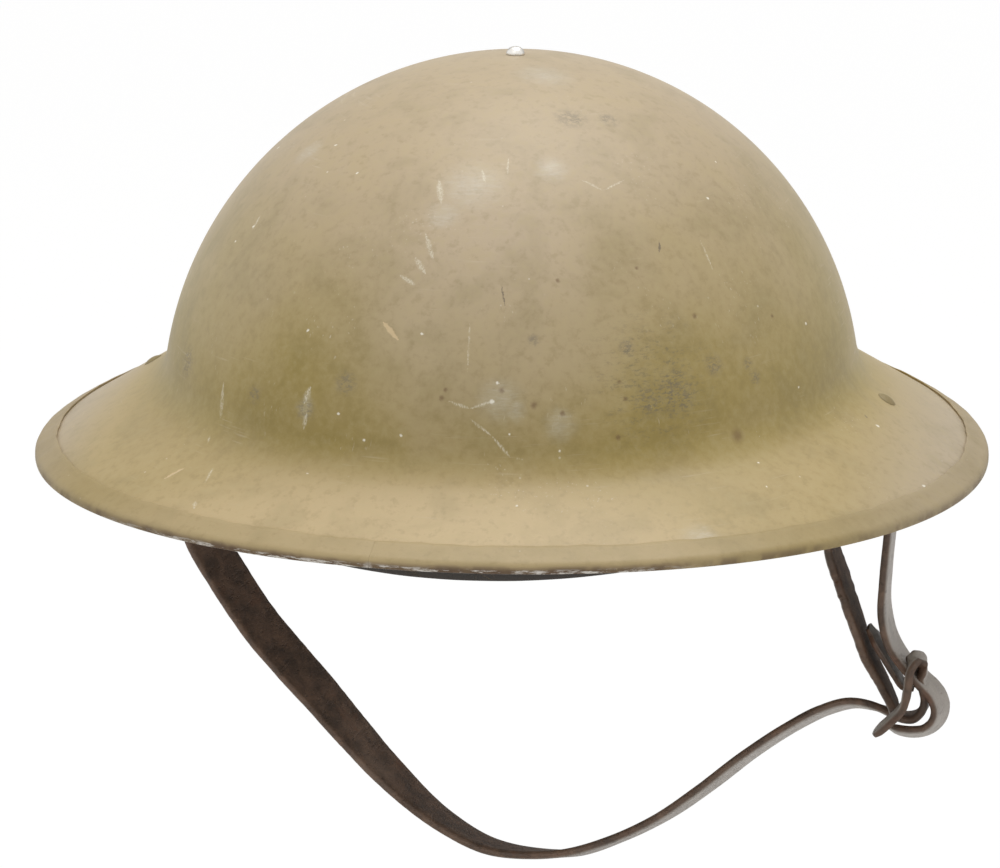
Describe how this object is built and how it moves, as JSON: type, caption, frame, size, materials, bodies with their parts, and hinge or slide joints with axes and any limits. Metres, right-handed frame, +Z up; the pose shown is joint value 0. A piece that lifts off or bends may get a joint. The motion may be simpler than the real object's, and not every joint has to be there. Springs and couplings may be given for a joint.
{
  "type": "steel helmet",
  "caption": "Shallow pressed-steel soldier's helmet with a wide sloping brim, a leather and twine liner, and a knotted leather chin strap on wire bails.",
  "frame": {"origin": "middle of the head opening, at the mean height of the rim", "axes": "+X to the wearer's left, -Y to the wearer's front, +Z up through the crown rivet"},
  "size_m": [0.2904, 0.3046, 0.2585],
  "materials": {
    "shell_paint": "worn khaki-olive paint, satin, with scratches and rust specks",
    "rim_steel": "folded steel edging, paint worn through to dull steel at the front",
    "bright_steel": "rivet heads rubbed bright",
    "dark_steel": "dull browned steel wire and sheet",
    "liner_brass": "tarnished liner rivets",
    "pad_felt": "matted grey-brown felt",
    "liner_oilcloth": "black oilcloth-faced headband with creases",
    "liner_leather": "brown vegetable-tanned leather",
    "strap_leather": "old dark brown leather with lighter rubbed faces and cut edges",
    "buffer_rubber": "perished dark rubber",
    "net_twine": "knotted twine"
  },
  "bodies": {
    "helmet": {"helmet_shell": "shell_paint", "rim_band": "rim_steel", "crown_rivet": "bright_steel", "crown_washer": "dark_steel", "crown_pad": "pad_felt", "harness_straps": "liner_leather", "harness_rivets": "liner_brass", "twine_net": "net_twine", "outer_band": "liner_leather", "headband": "liner_oilcloth", "rubber_buffers": "buffer_rubber", "left_lug": "dark_steel", "right_lug": "dark_steel", "left_lug_rivet": "bright_steel", "right_lug_rivet": "bright_steel"},
    "left_bail": {"left_bail": "dark_steel"},
    "right_bail": {"right_bail": "dark_steel"},
    "strap": {"chin_strap": "strap_leather", "strap_loop": "strap_leather", "strap_rivet": "liner_brass", "torn_layer": "strap_leather"}
  },
  "joints": [
    {"name": "left_bail_swing", "type": "hinge", "parent": "helmet", "child": "left_bail", "pos_m": [-0.1085, 0, 0.0155], "axis": [0, 1, 0], "range_deg": [-6, 6]},
    {"name": "right_bail_swing", "type": "hinge", "parent": "helmet", "child": "right_bail", "pos_m": [0.1085, 0, 0.0155], "axis": [0, 1, 0], "range_deg": [-6, 6]},
    {"name": "strap_swing", "type": "hinge", "parent": "helmet", "child": "strap", "pos_m": [0, 0, 0.0095], "axis": [1, 0, 0], "range_deg": [-35, 35]}
  ]
}
